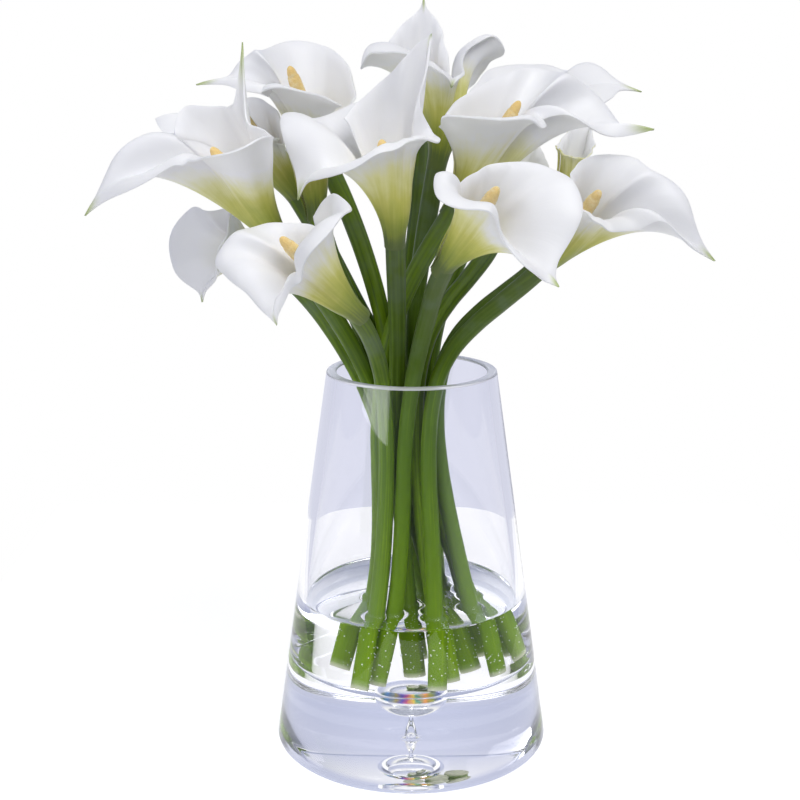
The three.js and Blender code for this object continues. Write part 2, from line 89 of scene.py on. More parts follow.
# base: where the stem meets the funnel; lean: sideways to the right, and towards the front
# rim: (azimuth round the funnel's axis, distance from it, height along it, turn-out of the edge)
# tails: (azimuth, length, angle from the axis, half width in degrees)
# lap: how far one turn of the spathe steps outwards; spadix: length, sideways lean
# young: how much further up the green of a young bloom reaches, as a share
LILIES = {
    "A": dict(
        base=(-78, -32, 326), lean=(-33, 20), lap=-1.8, spadix=(65, 0),
        rim=[(-250, 29, 68, 45), (-222, 26, 78, 60), (-200, 37, 86, 85), (-188, 53, 86, 100),
             (-178, 67, 74, 115), (-150, 30, 74, 110), (-118, 22, 72, 80), (-85, 30, 76, 60),
             (-50, 54, 72, 40), (-15, 35, 58, 25), (20, 25, 61, 15), (45, 23, 66, 5), (75, 28, 73, 0),
             (110, 26, 84, 5), (155, 18, 76, 25)],
        tails=[(-178, 20, 106, 3), (45, 41, 44, 5)]),
    "B": dict(
        base=(-72, 18, 347), lean=(-32, 15), lap=1.8, spadix=(60, 0),
        rim=[(-60, 16, 36, 50), (-15, 14, 31, 40), (20, 18, 41, 35), (55, 20, 51, 35), (90, 28, 56, 35),
             (150, 24, 64, 60), (180, 43, 78, 80), (200, 41, 69, 80), (230, 31, 60, 70),
             (270, 28, 46, 60), (320, 17, 36, 50)],
        tails=[(180, 3, 35, 4)]),
    "C": dict(
        base=(-51, 23, 362), lean=(-27, 28), lap=1.8, spadix=(70, 9),
        rim=[(-60, 40, 44, 60), (-20, 35, 38, 50), (10, 34, 36, 40), (40, 41, 46, 40), (65, 49, 51, 50),
             (90, 46, 63, 60), (120, 15, 81, 70), (150, 21, 80, 80), (178, 28, 77, 88),
             (205, 22, 73, 90), (240, 13, 66, 82), (275, 34, 81, 72), (305, 36, 69, 65),
             (330, 34, 46, 60)],
        tails=[(178, 20, 74, 3)]),
    "E": dict(
        base=(-10, -41, 329), lean=(0, 18), lap=-1.8, spadix=(56, -9),
        rim=[(-240, 38, 66, 50), (-215, 55, 57, 70), (-192, 64, 64, 95), (-168, 54, 43, 120),
             (-145, 46, 45, 130), (-125, 40, 52, 125), (-100, 32, 62, 105), (-60, 20, 63, 75),
             (-20, 26, 60, 90), (5, 19, 61, 40), (25, 15, 76, 15), (50, 25, 102, 0), (75, 19, 95, 5),
             (105, 26, 80, 5), (135, 28, 69, 10), (160, 30, 64, 25)],
        tails=[(-166, 16, 171, 3), (50, 7, 41, 3)]),
    "F": dict(
        base=(-34, -60, 288), lean=(-42, 32), lap=-1.8, spadix=(68, 3),
        rim=[(-300, 20, 50, 42), (-262, 23, 57, 50), (-240, 26, 64, 55), (-210, 25, 76, 70),
             (-180, 36, 76, 90), (-160, 34, 74, 105), (-135, 32, 66, 115), (-110, 37, 54, 120),
             (-92, 25, 56, 115), (-72, 24, 56, 105), (-50, 40, 74, 95), (-22, 51, 79, 95),
             (5, 45, 64, 80), (30, 39, 64, 45), (70, 27, 51, 30)],
        tails=[(-110, 7, 148, 3)]),
    "G": dict(
        base=(-89, 25, 302), lean=(-60, 25), lap=1.8, spadix=(28, 0),
        rim=[(-60, 28, 44, 50), (0, 28, 46, 50), (60, 22, 36, 50), (100, 20, 47, 60), (140, 58, 44, 80),
             (170, 51, 39, 88), (200, 37, 27, 90), (235, 21, 29, 90), (300, 28, 44, 60)],
        tails=[(200, 9, 122, 3)]),
    "H": dict(
        base=(16, 28, 367), lean=(10, -6), lap=1.8, spadix=(33, 4),
        rim=[(-280, 20, 44, 40), (-240, 38, 60, 65), (-215, 62, 65, 90), (-185, 56, 44, 112),
             (-150, 57, 52, 100), (-120, 61, 52, 85), (-90, 44, 45, 100), (-60, 9, 59, 90),
             (-25, 21, 75, 80), (-5, 28, 70, 80), (20, 21, 62, 65), (60, 24, 48, 45), (100, 20, 42, 40)],
        tails=[(-90, 8, -144, 4)]),
    "I": dict(
        base=(8, 84, 377), lean=(0, 4), lap=1.8, spadix=(45, 0),
        rim=[(-200, 20, 44, 30), (-150, 18, 40, 50), (-90, 18, 36, 50), (-30, 16, 40, 45),
             (20, 13, 58, 20), (60, 14, 71, 0), (90, 16, 77, 0), (120, 15, 72, 0), (160, 21, 60, 15),
             (210, 20, 46, 40)],
        tails=[(90, 8, 5, 4)]),
    "K": dict(
        base=(61, 78, 361), lean=(22, 5), lap=1.8, spadix=(50, 0),
        rim=[(-190, 28, 34, 40), (-120, 26, 36, 60), (-60, 34, 44, 70), (-20, 46, 63, 82),
             (0, 45, 71, 80), (30, 31, 77, 60), (60, 34, 66, 50), (90, 40, 61, 45), (120, 47, 50, 45),
             (150, 39, 36, 45), (180, 37, 28, 40)],
        tails=[(0, 18, 83, 3)]),
    "L": dict(
        base=(26, -8, 341), lean=(33, 20), lap=1.8, spadix=(74, -4),
        rim=[(-192, 31, 39, 45), (-165, 39, 44, 60), (-140, 55, 62, 75), (-105, 38, 81, 80),
             (-75, 28, 78, 82), (-48, 14, 77, 85), (-30, 24, 87, 85), (-6, 54, 86, 92), (8, 53, 90, 85),
             (25, 44, 94, 72), (50, 22, 97, 60), (75, 46, 83, 50), (105, 34, 74, 42), (140, 34, 53, 35),
             (190, 32, 43, 40)],
        tails=[(-4, 20, 44, 3)]),
    "M": dict(
        base=(19, -60, 314), lean=(31, 36), lap=1.8, spadix=(64, -2),
        rim=[(-205, 26, 49, 90), (-186, 35, 58, 125), (-168, 37, 57, 130), (-146, 41, 64, 108),
             (-115, 36, 77, 75), (-85, 33, 60, 78), (-64, 48, 58, 85), (-50, 52, 52, 88),
             (-36, 47, 58, 85), (-8, 44, 74, 75), (15, 39, 77, 68), (45, 34, 68, 52), (80, 24, 61, 45),
             (120, 18, 56, 38), (168, 18, 46, 40)],
        tails=[(-50, 8, 73, 3)]),
    "N": dict(
        base=(80, -15, 308), lean=(34, 34), lap=1.8, spadix=(62, -6),
        rim=[(-200, 15, 52, 40), (-150, 18, 57, 50), (-110, 18, 56, 68), (-75, 22, 59, 88),
             (-50, 27, 65, 90), (-34, 33, 74, 90), (-16, 59, 66, 95), (-4, 49, 76, 88),
             (14, 39, 80, 80), (35, 26, 78, 68), (60, 30, 74, 58), (95, 30, 63, 48), (150, 21, 59, 40),
             (205, 24, 61, 40)],
        tails=[(-15, 16, 98, 3)]),
    "O": dict(
        base=(95, 30, 325), lean=(6, 0), lap=1.8, spadix=(34, 0), young=0.3,
        rim=[(-170, 10, 46, 12), (-90, 10, 42, 20), (-30, 10, 46, 20), (30, 10, 56, 20),
             (60, 15, 62, 5), (90, 13, 60, 0), (150, 9, 49, 8), (190, 11, 46, 15)],
        tails=[(60, 16, 60, 5)]),
    "P": dict(
        base=(55, 32, 324), lean=(10, 0), lap=1.8, spadix=(34, 0), young=0.3,
        rim=[(-170, 14, 44, 20), (-90, 18, 40, 35), (-30, 22, 41, 40), (20, 17, 49, 20),
             (60, 18, 56, 6), (90, 16, 54, 5), (150, 12, 44, 12), (190, 15, 44, 20)],
        tails=[(60, 8, 10, 5)]),
    "Q": dict(
        base=(-56, -26, 343), lean=(-6, 0), lap=1.8, spadix=(24, 0), young=0.15,
        rim=[(-170, 9, 32, 10), (-90, 9, 30, 10), (0, 10, 34, 5), (60, 9, 40, 0), (120, 9, 38, 0),
             (190, 10, 33, 6)],
        tails=[(60, 6, 0, 5)]),
}


# ---- colours ----

# Ramps run from the foot of a bloom, a stem or a spadix to its top.
SPATHE_OUTSIDE = [(0.04, (0.13, 0.18, 0.04)), (0.15, (0.27, 0.33, 0.04)), (0.28, (0.42, 0.45, 0.07)),
                  (0.41, (0.60, 0.59, 0.14)), (0.54, (0.79, 0.77, 0.37)), (0.66, (0.91, 0.90, 0.76)),
                  (0.77, (0.95, 0.95, 0.96))]
SPATHE_INSIDE = [(0.05, (0.62, 0.62, 0.26)), (0.25, (0.84, 0.83, 0.6)), (0.45, (0.93, 0.93, 0.86)),
                 (0.65, (0.94, 0.94, 0.94))]
SPATHE_TIP = [(0.3, (0.80, 0.82, 0.58)), (1.0, (0.36, 0.46, 0.14))]
PETAL_SHADE = (0.95, 0.95, 0.985)
STEM_GREEN = [(0.0, (0.115, 0.215, 0.0)), (0.25, (0.09, 0.17, 0.0)), (0.55, (0.07, 0.135, 0.006)),
              (0.8, (0.095, 0.165, 0.016)), (1.0, (0.13, 0.18, 0.06))]
STEM_STREAK = (0.20, 0.33, 0.004)
STEM_MIST = (0.17, 0.23, 0.15)
CUT_END = (0.66, 0.68, 0.5)
SPADIX_YELLOW = [(0.0, (0.93, 0.83, 0.44)), (0.5, (0.94, 0.78, 0.38)), (1.0, (0.90, 0.64, 0.24))]
POLLEN = (0.97, 0.90, 0.62)
# painted shade in the hollows between the spadix's grains
PAINTED_HOLLOW_SHADE = (0.72, 0.46, 0.14)
# the painted rainbow glint on the bubble's dome, from left to right
RAINBOW_COLOURS = [
    (0.06, (0.12, 0.22, 0.04)), (0.16, (0.03, 0.16, 0.42)), (0.26, (0.28, 0.22, 0.02)),
    (0.36, (0.05, 0.03, 0.42)), (0.44, (0.60, 0.08, 0.18)), (0.52, (0.85, 0.60, 0.03)),
    (0.60, (0.06, 0.35, 0.25)), (0.70, (0.90, 0.30, 0.02)), (0.80, (0.30, 0.36, 0.05)),
    (0.92, (0.03, 0.10, 0.60))]
GLASS_TINT = (0.98, 0.98, 0.995)
GLASS_SHADOW = (0.9, 0.91, 0.94)
RIM_TINT = (0.93, 0.93, 1.0)
# painted shade: the glass in the inner corner of the floor, under the fill, is tinted darker to stand in for
# the dark line that bent light draws there
CORNER_PAINTED_SHADE = (0.6, 0.63, 0.7)
FILL_TINT = (0.985, 0.995, 1.0)
FILL_SHADOW = (0.96, 0.98, 0.99)
AIR_GLINT = [(0.3, (0.9, 0.93, 0.9)), (0.7, (1, 1, 1))]
NO_TINT = (1, 1, 1)


# ---- textures ----

# A scale on the object counts features per metre; one with three values counts them round the piece
# and along it. Wavering moves a ramp by a share of its length. Depths are in millimetres.
PETAL = dict(streaks=(34, 1.6, 1), veins=(260, 3, 1), clouds=45, streak_waver=0.26, cloud_waver=0.3,
             tone_waver=0.12, inside_waver=0.12, shaded=(0.3, 0.75), shading=0.35, tip_edges=(0.3, 0.95),
             vein_share=0.4, streak_share=0.6, bump=0.22, bump_depth=0.6, gloss_edges=(0.2, 0.8),
             roughness=(0.4, 0.5))
SKIN = dict(streaks=(22, 2.5, 1), fine=(90, 8, 1), wax=60, streak_waver=0.35, tone_waver=0.3,
            streaked=(0.42, 0.72), streaking=0.55, waxed=(0.4, 0.7), wax_rise=(0.6, 0.95), waxing=0.45,
            fine_share=0.5, bump=0.25, bump_depth=0.4, gloss_edges=(0.3, 0.8), roughness=(0.34, 0.5))
GRAINS = dict(grains=1500, patches=220, patch_waver=0.3, tone_waver=0.2, dusted=(0.45, 0.7), dusting=0.5,
              hollowed=(0.25, 0.75), hollowing=0.22, bump=0.6, bump_depth=0.4, gloss_edges=(0.2, 0.8),
              roughness=(0.75, 0.85))
GLASS_RIPPLE = dict(scale=18, bump=0.04, bump_depth=1.0)


# ---- shader nodes ----

class Value:
    """A shader socket that takes part in Python arithmetic."""

    def __init__(self, finish, socket):
        self.finish = finish
        self.socket = socket

    def maths(self, operation, *operands):
        sockets = dict(enumerate(operands))
        return self.finish.add("Math", dict(operation=operation), sockets)

    def __add__(self, other):
        return self.maths("ADD", self, other)

    def __sub__(self, other):
        return self.maths("SUBTRACT", self, other)

    def __rsub__(self, other):
        return self.maths("SUBTRACT", other, self)

    def __mul__(self, other):
        return self.maths("MULTIPLY", self, other)

    def __truediv__(self, other):
        return self.maths("DIVIDE", self, other)

    def __rtruediv__(self, other):
        return self.maths("DIVIDE", other, self)

    def __abs__(self):
        return self.maths("ABSOLUTE", self)

    __radd__ = __add__
    __rmul__ = __mul__

    def waver(self, amount):
        """How far this is from its middle, as a share of an amount."""
        return (self - 0.5) * amount

    def between(self, low, high):
        """The low value where this is 0 and the high one where it is 1."""
        return self * (high - low) + low


class Finish:
    """A material, or the world, whose nodes all come from add()."""

    def __init__(self, name, owner=None):
        self.owner = owner or bpy.data.materials.new(name)
        self.owner.use_nodes = True
        self.tree = self.owner.node_tree
        self.tree.nodes.clear()

    def add(self, kind, settings=None, sockets=None, output=0):
        """A new node with its settings, then the values or links of its sockets."""
        node = self.tree.nodes.new("ShaderNode" + kind)
        for key, value in (settings or {}).items():
            if key == "stops":
                self.set_stops(node.color_ramp, value)
            else:
                setattr(node, key, value)
        for key, value in (sockets or {}).items():
            if isinstance(value, Value):
                self.tree.links.new(value.socket, node.inputs[key])
            else:
                node.inputs[key].default_value = value
        return Value(self, node.outputs[output]) if node.outputs else None

    def outputs(self, kind, sockets=None):
        """All the outputs of a new node, by name."""
        node = self.add(kind, {}, sockets).socket.node
        return {output.name: Value(self, output) for output in node.outputs}

    def set_stops(self, ramp, stops):
        while len(ramp.elements) < len(stops):
            ramp.elements.new(0.5)
        for element, (position, colour) in zip(ramp.elements, stops):
            element.position = position
            element.color = opaque(colour)

    def ramp(self, factor, *stops):
        return self.add("ValToRGB", dict(stops=stops), {"Fac": factor})

    def mix(self, factor, first, second, blend="MIX"):
        colours = {6: first, 7: second, 0: factor}
        return self.add("Mix", dict(data_type="RGBA", blend_type=blend), colours, output=2)

    def clamp(self, value, low, high):
        sockets = {"Value": value, "From Min": low, "From Max": high}
        return self.add("MapRange", dict(interpolation_type="SMOOTHSTEP"), sockets)

    def noise(self, vector, scale, detail=3.0, roughness=0.5):
        sockets = {"Vector": vector, "Scale": scale, "Detail": detail, "Roughness": roughness}
        return self.add("TexNoise", {}, sockets)

    def bump(self, height, strength, depth, invert=False):
        sockets = {"Strength": strength, "Distance": depth * MM, "Height": height}
        return self.add("Bump", dict(invert=invert), sockets)

    def position(self):
        return self.add("TexCoord", output=3)

    def uv(self, stretch):
        flower = self.add("UVMap", dict(uv_map="flower"))
        return self.add("Mapping", {}, {"Vector": flower, "Scale": stretch})

    def marks(self):
        """The piece's own marks: where it is a tip, how high it is on its flower, and its tone."""
        colour = self.add("Attribute", dict(attribute_name="marks"))
        return self.outputs("SeparateColor", {"Color": colour}).values()

    def finish(self, shader):
        self.add("OutputMaterial", {}, {"Surface": shader})
        return self.owner


def opaque(colour):
    return (*colour, 1)


def spathe_finish(name, outside):
    """White petal: green at its foot on the outside, cream in its throat, green at its drawn-out tip."""
    paint = Finish(name)
    tip, height, tone = paint.marks()
    streaks = paint.noise(paint.uv(PETAL["streaks"]), 1.0, roughness=0.6)
    veins = paint.noise(paint.uv(PETAL["veins"]), 1.0, 1.0)
    clouds = paint.noise(paint.position(), PETAL["clouds"])
    if outside:
        reach = (height + streaks.waver(PETAL["streak_waver"]) + clouds.waver(PETAL["cloud_waver"])
                 + tone.waver(PETAL["tone_waver"]))
        colour = paint.ramp(reach, *SPATHE_OUTSIDE)
    else:
        colour = paint.ramp(height + streaks.waver(PETAL["inside_waver"]), *SPATHE_INSIDE)
    shaded = paint.clamp(clouds, *PETAL["shaded"]) * PETAL["shading"]
    shade = paint.mix(shaded, opaque(NO_TINT), opaque(PETAL_SHADE))
    colour = paint.mix(1.0, colour, shade, "MULTIPLY")
    colour = paint.mix(paint.clamp(tip, *PETAL["tip_edges"]), colour, paint.ramp(tip, *SPATHE_TIP))
    relief = veins * PETAL["vein_share"] + streaks * PETAL["streak_share"]
    shader = paint.add("BsdfPrincipled", {}, {
        "Base Color": colour,
        "Roughness": paint.clamp(clouds, *PETAL["gloss_edges"]).between(*PETAL["roughness"]),
        "Subsurface Weight": 0.35, "Subsurface Radius": (0.006, 0.006, 0.005), "Subsurface Scale": 1.0,
        "Specular IOR Level": 0.4, "Sheen Weight": 0.08,
        "Normal": paint.bump(relief, PETAL["bump"], PETAL["bump_depth"])})
    return paint.finish(shader)


def stem_finish(name, ior):
    """The stems' green: streaked, misted with wax towards the top and pale on the cut end."""
    paint = Finish(name)
    cut, height, tone = paint.marks()
    streaks = paint.noise(paint.uv(SKIN["streaks"]), 1.0)
    fine = paint.noise(paint.uv(SKIN["fine"]), 1.0, 2.0)
    wax = paint.noise(paint.position(), SKIN["wax"])
    colour = paint.ramp(height + streaks.waver(SKIN["streak_waver"]), *STEM_GREEN)
    streaked = paint.clamp(streaks + tone.waver(SKIN["tone_waver"]), *SKIN["streaked"])
    colour = paint.mix(streaked * SKIN["streaking"], colour, opaque(STEM_STREAK))
    misted = paint.clamp(wax, *SKIN["waxed"]) * paint.clamp(height, *SKIN["wax_rise"])
    colour = paint.mix(misted * SKIN["waxing"], colour, opaque(STEM_MIST))
    colour = paint.mix(cut, colour, opaque(CUT_END))
    relief = streaks + fine * SKIN["fine_share"]
    shader = paint.add("BsdfPrincipled", {}, {
        "Base Color": colour,
        "Roughness": paint.clamp(wax, *SKIN["gloss_edges"]).between(*SKIN["roughness"]),
        "Subsurface Weight": 0.06, "Subsurface Radius": (0.002, 0.003, 0.001), "Subsurface Scale": 1.0,
        "IOR": ior, "Specular IOR Level": 0.16,
        "Normal": paint.bump(relief, SKIN["bump"], SKIN["bump_depth"])})
    return paint.finish(shader)


def spadix_finish():
    """Yellow grains, dusted with pollen, with painted shade in the hollows between them."""
    paint = Finish("pollen_spadix")
    _, height, tone = paint.marks()
    grains = paint.add("TexVoronoi", {}, {"Vector": paint.position(), "Scale": GRAINS["grains"]})
    patches = paint.noise(paint.position(), GRAINS["patches"])
    reach = height + patches.waver(GRAINS["patch_waver"]) + tone.waver(GRAINS["tone_waver"])
    colour = paint.ramp(reach, *SPADIX_YELLOW)
    dusted = paint.clamp(patches, *GRAINS["dusted"]) * GRAINS["dusting"]
    colour = paint.mix(dusted, colour, opaque(POLLEN))
    # painted shade: darker orange in the hollows between the grains
    hollowed = paint.clamp(grains, *GRAINS["hollowed"]) * GRAINS["hollowing"]
    colour = paint.mix(hollowed, colour, opaque(PAINTED_HOLLOW_SHADE))
    shader = paint.add("BsdfPrincipled", {}, {
        "Base Color": colour,
        "Roughness": paint.clamp(patches, *GRAINS["gloss_edges"]).between(*GRAINS["roughness"]),
        "Subsurface Weight": 0.15, "Subsurface Radius": (0.003, 0.002, 0.001), "Subsurface Scale": 1.0,
        "Sheen Weight": 0.2,
        "Normal": paint.bump(grains, GRAINS["bump"], GRAINS["bump_depth"], invert=True)})
    return paint.finish(shader)


def clear_finish(name, ior, tint=NO_TINT, shadow=NO_TINT, roughness=0.0, clear=1.0, glint=None):
    """A clear finish that lets most of the light through to the shadow side."""
    paint = Finish(name)
    ripple = paint.noise(paint.position(), GLASS_RIPPLE["scale"], 2.0)
    body = paint.add("BsdfPrincipled", {}, {
        "Base Color": opaque(tint), "Roughness": roughness, "IOR": ior, "Transmission Weight": clear,
        "Normal": paint.bump(ripple, GLASS_RIPPLE["bump"], GLASS_RIPPLE["bump_depth"])})
    if glint:
        body = glint(paint, body)
    through = paint.add("BsdfTransparent", {}, {"Color": opaque(shadow)})
    in_shadow = paint.outputs("LightPath")["Is Shadow Ray"]
    return paint.finish(paint.add("MixShader", {}, {0: in_shadow, 1: body, 2: through}))


def rainbow_glint(paint, body):
    """A painted rainbow glint that glows where light splits into colours at the front of the bubble's dome.
    """
    x, y, z = (metres / MM for metres in paint.outputs("SeparateXYZ", {0: paint.position()}).values())
    band = paint.clamp(z, *RAINBOW["bottom"]) * (1 - paint.clamp(z, *RAINBOW["top"]))
    front = paint.clamp(y * -1, *RAINBOW["front"])
    patches = paint.noise(paint.position(), RAINBOW["patches"], 1.0)
    along = (x + RAINBOW["reach"]) / (2 * RAINBOW["reach"]) + patches.waver(RAINBOW["waver"])
    colour = paint.ramp(along, *RAINBOW_COLOURS)
    glow = paint.add("BsdfPrincipled", {}, {
        "Base Color": colour, "Roughness": 0.3, "Emission Color": colour,
        "Emission Strength": RAINBOW["glow"]})
    return paint.add("MixShader", {}, {0: band * front, 1: body, 2: glow})


# ---- meshes ----

def new_piece(name, form, finishes, nodes):
    """A finished piece from a bmesh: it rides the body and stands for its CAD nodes."""
    mesh = bpy.data.meshes.new(name)
    for face in form.faces:
        face.smooth = True
    form.to_mesh(mesh)
    form.free()
    piece = bpy.data.objects.new(name, mesh)
    bpy.context.scene.collection.objects.link(piece)
    for finish in finishes:
        mesh.materials.append(finish)
    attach(piece, "root")
    if nodes:
        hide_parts(*nodes)
    return piece


def sheet_of(columns, rows, place, mark, closed=False):
    """A grid whose vertices go where place(u, v) says, with a UV map and its marks."""
    form = bmesh.new()
    form.loops.layers.uv.new("flower")
    bmesh.ops.create_grid(form, x_segments=columns, y_segments=rows, size=1, calc_uvs=True)
    marks = form.verts.layers.float_color.new("marks")
    for vertex in form.verts:
        u, v = (vertex.co.x + 1) / 2, (vertex.co.y + 1) / 2
        vertex[marks] = (*mark(u, v), 1)
        vertex.co = place(u, v) * MM
    if closed:
        bmesh.ops.remove_doubles(form, verts=form.verts, dist=WELD * MM)
    return form


def spin_form(outline, sides, outwards=True):
    """A round body from an outline of (radius, height) pairs that starts and ends on the axis."""
    form = bmesh.new()
    points = [form.verts.new((r * MM, 0, z * MM)) for r, z in outline]
    edges = [form.edges.new(pair) for pair in zip(points, points[1:])]
    bmesh.ops.spin(form, geom=[*points, *edges], cent=(0, 0, 0), axis=(0, 0, 1),
                   angle=2 * math.pi, steps=sides, use_merge=True)
    bmesh.ops.remove_doubles(form, verts=form.verts, dist=WELD * MM)
    bmesh.ops.recalc_face_normals(form, faces=form.faces)
    if not outwards:
        bmesh.ops.reverse_faces(form, faces=form.faces)
    return form


def arc(centre_r, centre_z, radius, start, end, steps):
    turns = [math.radians(start + (end - start) * i / steps) for i in range(steps + 1)]
    return [(centre_r + radius * math.cos(a), centre_z + radius * math.sin(a)) for a in turns]


def across_axis(axis):
    """Two directions square to an axis: to the right, and away from the front."""
    right = (Vector((1, 0, 0)) - axis * axis.x).normalized()
    return right, axis.cross(right)


def smoothstep(low, high, value):
    share = min(1.0, max(0.0, (value - low) / (high - low)))
    return share * share * (3 - 2 * share)


# ---- vase ----

def outer_radius(z):
    return VASE["foot_radius"] - (VASE["foot_radius"] - VASE["rim_radius"]) * z / VASE["height"]


def inner_radius(z):
    return outer_radius(z) - VASE["wall"]


def straightened(outline):
    """The outline with points close to both ends of every long stretch, so that it is shaded flat."""
    points = [outline[0]]
    for (r0, z0), (r1, z1) in zip(outline, outline[1:]):
        if math.hypot(r1 - r0, z1 - z0) > STRAIGHT["shortest"]:
            points += [(r0 + (r1 - r0) * t, z0 + (z1 - z0) * t) for t in STRAIGHT["shares"]]
        points.append((r1, z1))
    return points


def vase_outline():
    height, floor, corner = VASE["height"], VASE["floor"], VASE["floor_corner"]
    foot_edge, rim_edge, recess = VASE["foot_edge"], VASE["rim_edge"], VASE["recess"]
    inside, outside = inner_radius(height), outer_radius(height)
    recess_shares = [1 - i / ARC_STEPS["recess"] for i in range(ARC_STEPS["recess"])]
    return straightened([
        (0, floor),
        *arc(inner_radius(floor + corner) - corner, floor + corner, corner, -90, 0, ARC_STEPS["corner"]),
        (inner_radius(WATER_LINE), WATER_LINE),
        *arc(inside + rim_edge, height - rim_edge, rim_edge, 180, 90, ARC_STEPS["rim"]),
        *arc(outside - rim_edge, height - rim_edge, rim_edge, 90, 0, ARC_STEPS["rim"]),
        *arc(outer_radius(foot_edge) - foot_edge, foot_edge, foot_edge, 0, -90, ARC_STEPS["foot"]),
        *[(VASE["recess_radius"] * share, recess * (1 - share * share)) for share in recess_shares],
        (0, recess),
    ])


def bubble_outline():
    radius, centre = BUBBLE["radius"], BUBBLE["centre"]
    lower, upper = arc(0, 0, 1, -82, 0, ARC_STEPS["bowl"]), arc(0, 0, 1, 5, 85, ARC_STEPS["dome"])
    bowl = [(radius * x, centre + BUBBLE["depth"] * y) for x, y in lower]
    dome = [(radius * x, centre + BUBBLE["rise"] * y) for x, y in upper]
    return [*BUBBLE["drop"], *bowl, *dome, (0, centre + BUBBLE["rise"])]


def glass_side(middle):
    """Which of the vase's finishes a face takes, by the face's middle in millimetres."""
    floor, height = VASE["floor"], VASE["height"]
    reach = math.hypot(middle.x, middle.y)
    if middle.z > height - VASE["rim_edge"]:
        return "rim"
    if middle.z < floor - MARGIN:
        dome = reach < BUBBLE["radius"] + MARGIN and middle.z > BUBBLE["centre"]
        return "dome" if dome else "air"
    if middle.z > WATER_LINE or reach > outer_radius(middle.z) - VASE["wall"] / 2:
        return "air"
    # Painted shade: the lower part of the inner floor corner takes the darkened corner finish.
    corner_top = floor + VASE["dark_corner"] * VASE["floor_corner"]
    return "corner" if floor < middle.z < corner_top and reach > VASE["rim_radius"] else "fill"


def glass_finishes():
    """The vase's finishes, by what the glass meets or how it is worked there."""
    return {
        "air": clear_finish("clear_glass", GLASS_IOR, GLASS_TINT, GLASS_SHADOW),
        "fill": clear_finish("clear_glass_against_water", GLASS_IOR / FILL_IOR),
        "rim": clear_finish("clear_glass_rim", GLASS_IOR, RIM_TINT, GLASS_SHADOW, roughness=0.25, clear=0.4),
        "dome": clear_finish("clear_glass_bubble", GLASS_IOR, GLASS_TINT, GLASS_SHADOW, glint=rainbow_glint),
        # painted shade in the floor corner
        "corner": clear_finish("clear_glass_corner", GLASS_IOR / FILL_IOR, CORNER_PAINTED_SHADE)}


def ease_edges(piece, width, angle):
    ease = piece.modifiers.new("edges", "BEVEL")
    ease.width = width * MM
    ease.limit_method = "ANGLE"
    ease.angle_limit = math.radians(angle)
    ease.segments = EDGE["segments"]


def make_vase():
    form = spin_form(vase_outline(), VASE["sides"])
    bubble = spin_form(bubble_outline(), BUBBLE["sides"], outwards=False)
    holder = bpy.data.meshes.new("bubble")
    bubble.to_mesh(holder)
    bubble.free()
    form.from_mesh(holder)
    bpy.data.meshes.remove(holder)
    finishes = glass_finishes()
    order = list(finishes)
    for face in form.faces:
        face.material_index = order.index(glass_side(face.calc_center_median() / MM))
    vase = new_piece("vase_glass", form, finishes.values(), ["vase"])
    ease_edges(vase, EDGE["glass_width"], EDGE["glass_angle"])


# ---- stems ----

def stem_course(node):
    """The rings of a CAD stem, from its foot up: (centre, radius) in millimetres."""
    form = bmesh.new()
    form.from_mesh(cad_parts[node].data)
    bmesh.ops.remove_doubles(form, verts=form.verts, dist=CAD_WELD * MM)
    foot = min(vertex.co.z for vertex in form.verts)
    layer = {vertex for vertex in form.verts if vertex.co.z < foot + FOOT_RING * MM}
    rings, seen = [], set()
    while layer:
        seen |= layer
        centre = sum((vertex.co for vertex in layer), Vector()) / len(layer)
        radius = sum((vertex.co - centre).length for vertex in layer) / len(layer)
        rings.append((centre / MM, radius / MM))
        linked = {edge.other_vert(vertex) for vertex in layer for edge in vertex.link_edges}
        layer = linked - seen
    form.free()
    return rings


def smooth_course(rings):
    """More rings between the CAD rings, on a smooth curve through their centres."""
    fine = []
    last = len(rings) - 1
    for k in range(last):
        before, after = rings[max(k - 1, 0)][0], rings[min(k + 2, last)][0]
        (start, start_radius), (end, end_radius) = rings[k], rings[k + 1]
        leave = (end - before) / (2 if k else 1)
        arrive = (after - start) / (2 if k + 1 < last else 1)
        for step in range(STEM["steps"]):
            t = step / STEM["steps"]
            point = ((2 * t**3 - 3 * t**2 + 1) * start + (t**3 - 2 * t**2 + t) * leave
                     + (3 * t**2 - 2 * t**3) * end + (t**3 - t**2) * arrive)
            fine.append((point, start_radius + (end_radius - start_radius) * t))
    return [*fine, rings[-1]]


def tube_form(course, sides, mark, relief=lambda turn, share: 1.0):
    """A closed tube round a course of (centre, radius) rings, with its ends drawn in."""
    points = [point for point, _ in course]
    ends = [(points[0], 0.0), *course, (points[-1], 0.0)]
    last = len(ends) - 1
    bearings = []
    for row in range(last + 1):
        k = min(max(row - 1, 0), len(points) - 1)
        along = points[min(k + 1, len(points) - 1)] - points[max(k - 1, 0)]
        bearings.append(across_axis(along.normalized()))

    def place(u, v):
        row = round(v * last)
        centre, radius = ends[row]
        right, behind = bearings[row]
        turn = 2 * math.pi * u
        reach = radius * relief(turn, v)
        return centre + right * (reach * math.cos(turn)) + behind * (reach * math.sin(turn))

    form = sheet_of(sides, last, place, mark, closed=True)
    bmesh.ops.recalc_face_normals(form, faces=form.faces)
    return form


